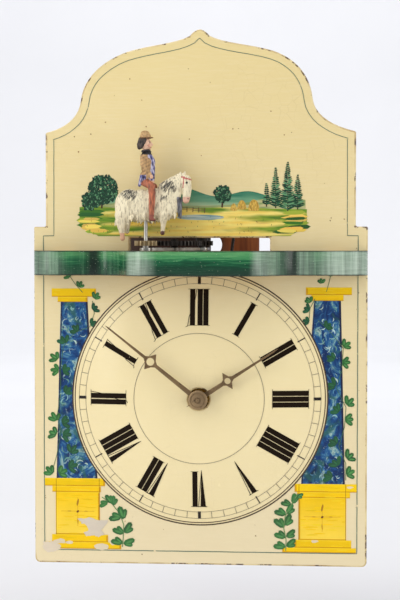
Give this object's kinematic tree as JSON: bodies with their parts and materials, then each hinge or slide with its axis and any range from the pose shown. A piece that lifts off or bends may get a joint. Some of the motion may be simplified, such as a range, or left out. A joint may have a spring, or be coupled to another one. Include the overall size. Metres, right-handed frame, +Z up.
{
  "type": "shield wall clock",
  "caption": "Lacquered wooden shield wall clock with a domed dial, a pendulum movement in a wooden case, a bell, and a rider figure that swings along a gallery above the dial.",
  "frame": {"origin": "centre of the hanging hole at the wall face of the back board", "axes": "+Z up along the shield, +Y from the shield into the wall, +X to the right as seen from the front"},
  "size_m": [0.238, 0.166, 0.3815],
  "materials": {
    "lacquer": "glossy aged cream lacquer",
    "green_paint": "glossy green paint",
    "stained_wood": "red-brown stain",
    "raw_wood": "bare aged beech",
    "brass": "aged",
    "hand_brass": "brown patina",
    "iron": "oiled wire and turned iron",
    "bell_bronze": "polished",
    "bright_wire": "tinned",
    "horse_paint": "white paint with black patches",
    "rider_paint": "painted clothes",
    "knob_black": "black stain"
  },
  "bodies": {
    "clock": {"shield": "lacquer", "shield_blocks": "raw_wood", "gallery_rail": "green_paint", "gallery_floor": "raw_wood", "gallery_blocks": "raw_wood", "top_board": "stained_wood", "bottom_board": "stained_wood", "front_bar": "raw_wood", "middle_bar": "raw_wood", "rear_bar": "raw_wood", "back_board": "stained_wood", "front_bushes": "brass", "middle_bushes": "brass", "rear_bushes": "brass", "bell_post": "iron", "bell": "bell_bronze", "bell_nut": "iron", "rider_stud": "iron", "sun_wheel": "iron", "stud_nut": "iron", "change_stud": "iron"},
    "great": {"great_arbor": "iron", "great_wheel": "brass", "going_sprocket": "brass"},
    "minute": {"cannon_pinion": "brass", "minute_hand": "hand_brass", "hand_collet": "hand_brass"},
    "change": {"minute_wheel": "brass"},
    "hour": {"hour_wheel": "brass", "hour_hand": "hand_brass"},
    "second": {"second_arbor": "iron", "second_wheel": "brass"},
    "escape": {"escape_arbor": "iron", "escape_wheel": "brass"},
    "pendulum": {"anchor_arbor": "iron", "anchor": "iron", "pendulum_rod": "iron", "pendulum_bob": "brass", "rating_nut": "brass"},
    "strike": {"strike_arbor": "iron", "strike_wheel": "brass", "strike_sprocket": "brass", "count_wheel": "brass"},
    "pinwheel": {"pin_arbor": "iron", "pin_wheel": "brass"},
    "flywheel": {"fly_arbor": "iron", "fly": "brass"},
    "hammer": {"hammer_arbor": "iron", "hammer_head": "iron"},
    "arm": {"rider_arm": "bright_wire", "idler_pin": "iron"},
    "idler": {"idler_wheel": "iron"},
    "figure": {"rider_post": "bright_wire", "rider_wheel": "brass", "horse": "horse_paint", "rider": "rider_paint"},
    "left_door": {"left_door": "stained_wood", "left_knob": "knob_black"},
    "right_door": {"right_door": "stained_wood", "right_knob": "knob_black"}
  },
  "joints": [
    {"name": "minute_turn", "type": "hinge", "parent": "clock", "child": "minute", "pos_m": [0, -0.137, -0.109], "axis": [0, 1, 0], "continuous": true},
    {"name": "hour_turn", "type": "hinge", "parent": "clock", "child": "hour", "pos_m": [0, -0.109, -0.109], "axis": [0, 1, 0], "continuous": true},
    {"name": "change_turn", "type": "hinge", "parent": "clock", "child": "change", "pos_m": [0.0192, -0.102, -0.109], "axis": [0, 1, 0], "continuous": true},
    {"name": "great_turn", "type": "hinge", "parent": "clock", "child": "great", "pos_m": [0, -0.084, -0.109], "axis": [0, 1, 0], "continuous": true},
    {"name": "second_turn", "type": "hinge", "parent": "clock", "child": "second", "pos_m": [0, -0.068, -0.0793], "axis": [0, 1, 0], "continuous": true},
    {"name": "escape_turn", "type": "hinge", "parent": "clock", "child": "escape", "pos_m": [0, -0.078, -0.05356], "axis": [0, 1, 0], "continuous": true},
    {"name": "pendulum_swing", "type": "hinge", "parent": "clock", "child": "pendulum", "pos_m": [0, -0.024, -0.031], "axis": [0, 1, 0], "range_deg": [-5, 5]},
    {"name": "pin_wheel_turn", "type": "hinge", "parent": "clock", "child": "pinwheel", "pos_m": [0, -0.034, -0.0789], "axis": [0, 1, 0], "continuous": true},
    {"name": "strike_turn", "type": "hinge", "parent": "clock", "child": "strike", "pos_m": [0, -0.048, -0.109], "axis": [0, 1, 0], "continuous": true},
    {"name": "fly_turn", "type": "hinge", "parent": "clock", "child": "flywheel", "pos_m": [0, -0.044, -0.05316], "axis": [0, 1, 0], "continuous": true},
    {"name": "hammer_lift", "type": "hinge", "parent": "clock", "child": "hammer", "pos_m": [0.014, -0.0425, -0.03916], "axis": [0, -1, 0], "range_deg": [0, 6]},
    {"name": "arm_swing", "type": "hinge", "parent": "clock", "child": "arm", "pos_m": [0, -0.1, -0.003], "axis": [0, 0, 1], "range_deg": [0, 90]},
    {"name": "idler_turn", "type": "hinge", "parent": "arm", "child": "idler", "pos_m": [-0.01845, -0.11846, 0.001], "axis": [0, 0, 1], "range_deg": [0, 35]},
    {"name": "rider_turn", "type": "hinge", "parent": "arm", "child": "figure", "pos_m": [-0.03691, -0.13691, 0.001], "axis": [0, 0, 1], "range_deg": [-90, 0]},
    {"name": "left_door_swing", "type": "hinge", "parent": "clock", "child": "left_door", "pos_m": [-0.062, -0.015, -0.096], "axis": [0, 0, -1], "range_deg": [0, 100]},
    {"name": "right_door_swing", "type": "hinge", "parent": "clock", "child": "right_door", "pos_m": [0.062, -0.015, -0.096], "axis": [0, 0, 1], "range_deg": [0, 100]}
  ],
  "couplings": [
    {"joint": "hour_turn", "follows": "minute_turn", "ratio": 0.083333},
    {"joint": "change_turn", "follows": "minute_turn", "ratio": -0.33333},
    {"joint": "great_turn", "follows": "minute_turn", "ratio": 1},
    {"joint": "second_turn", "follows": "minute_turn", "ratio": -10},
    {"joint": "escape_turn", "follows": "minute_turn", "ratio": 100},
    {"joint": "strike_turn", "follows": "pin_wheel_turn", "ratio": -0.10256},
    {"joint": "fly_turn", "follows": "pin_wheel_turn", "ratio": -10},
    {"joint": "idler_turn", "follows": "arm_swing", "ratio": 0.38095},
    {"joint": "rider_turn", "follows": "arm_swing", "ratio": -1}
  ]
}
